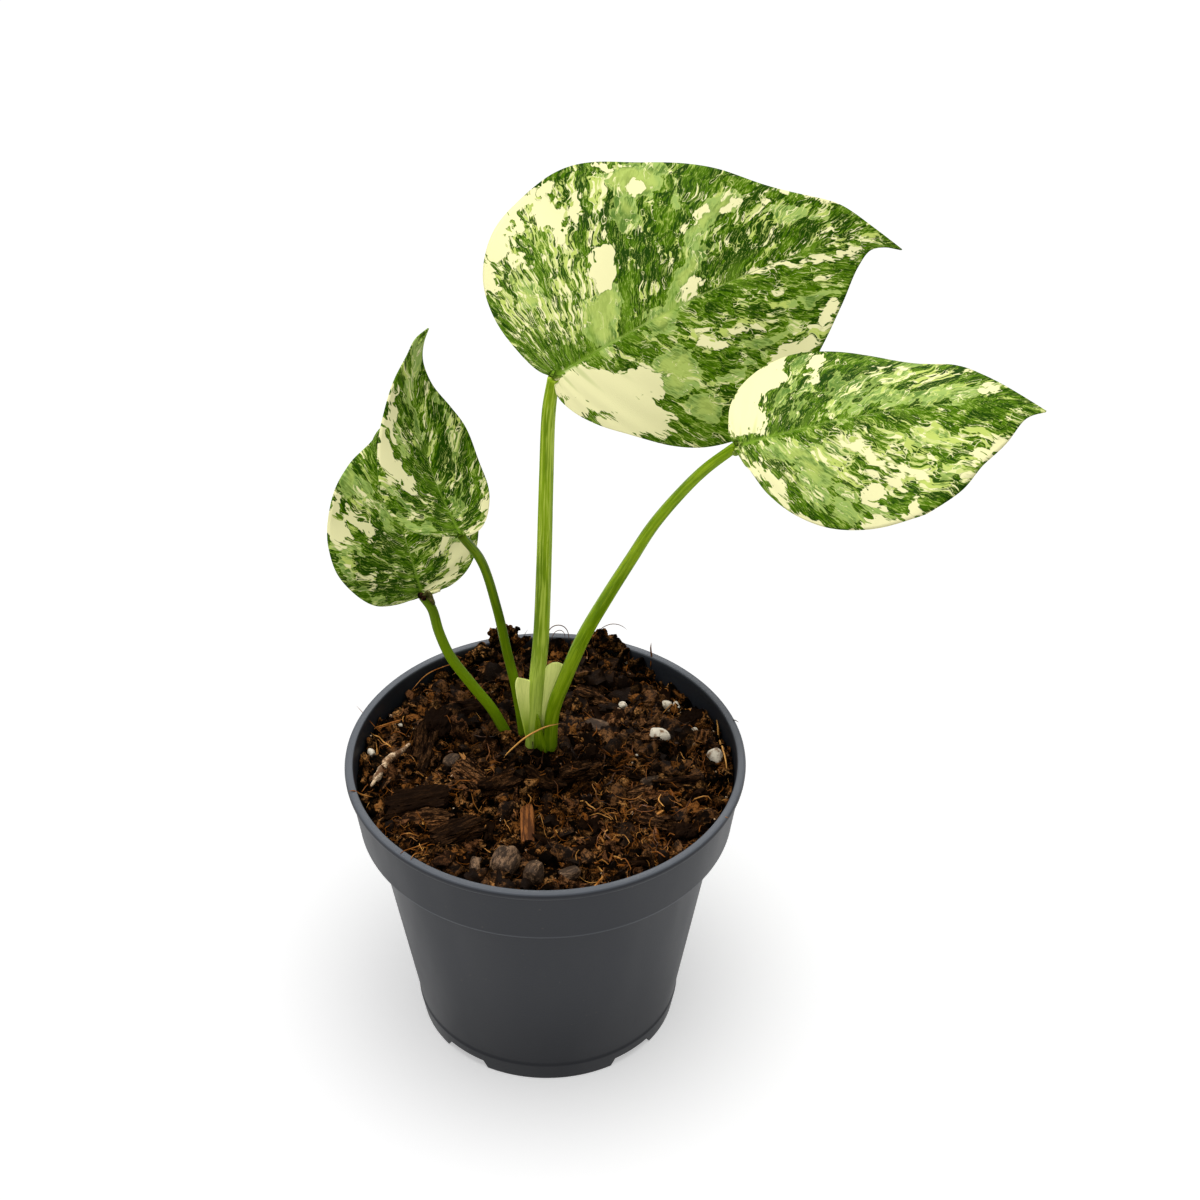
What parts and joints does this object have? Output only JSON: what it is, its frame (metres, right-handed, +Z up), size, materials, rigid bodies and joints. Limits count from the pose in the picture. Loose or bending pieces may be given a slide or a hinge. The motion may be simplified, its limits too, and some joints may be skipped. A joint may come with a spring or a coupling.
{
  "type": "potted swiss cheese plant",
  "caption": "Young variegated aroid house plant with whole, arched leaves on long stalks, standing in soil in a round nursery pot.",
  "frame": {"origin": "middle of the pot's underside, on the ground", "axes": "+Z up along the pot's axis; +X towards the right leaf; -Y towards the front"},
  "size_m": [0.1991, 0.1241, 0.2659],
  "materials": {
    "pot_plastic": "satin, moulded",
    "potting_soil": "rough, loose peat and coir",
    "crown_bark": "rough",
    "stalk_green": "smooth, waxy",
    "leaf_variegated": "smooth, waxy, cream and green"
  },
  "bodies": {
    "root": {"pot": "pot_plastic", "soil": "potting_soil", "crown": "crown_bark", "stalk_large": "stalk_green", "blade_large": "leaf_variegated", "stalk_right": "stalk_green", "blade_right": "leaf_variegated", "stalk_front_left": "stalk_green", "blade_front_left": "leaf_variegated", "stalk_back_left": "stalk_green", "blade_back_left": "leaf_variegated"}
  },
  "joints": []
}
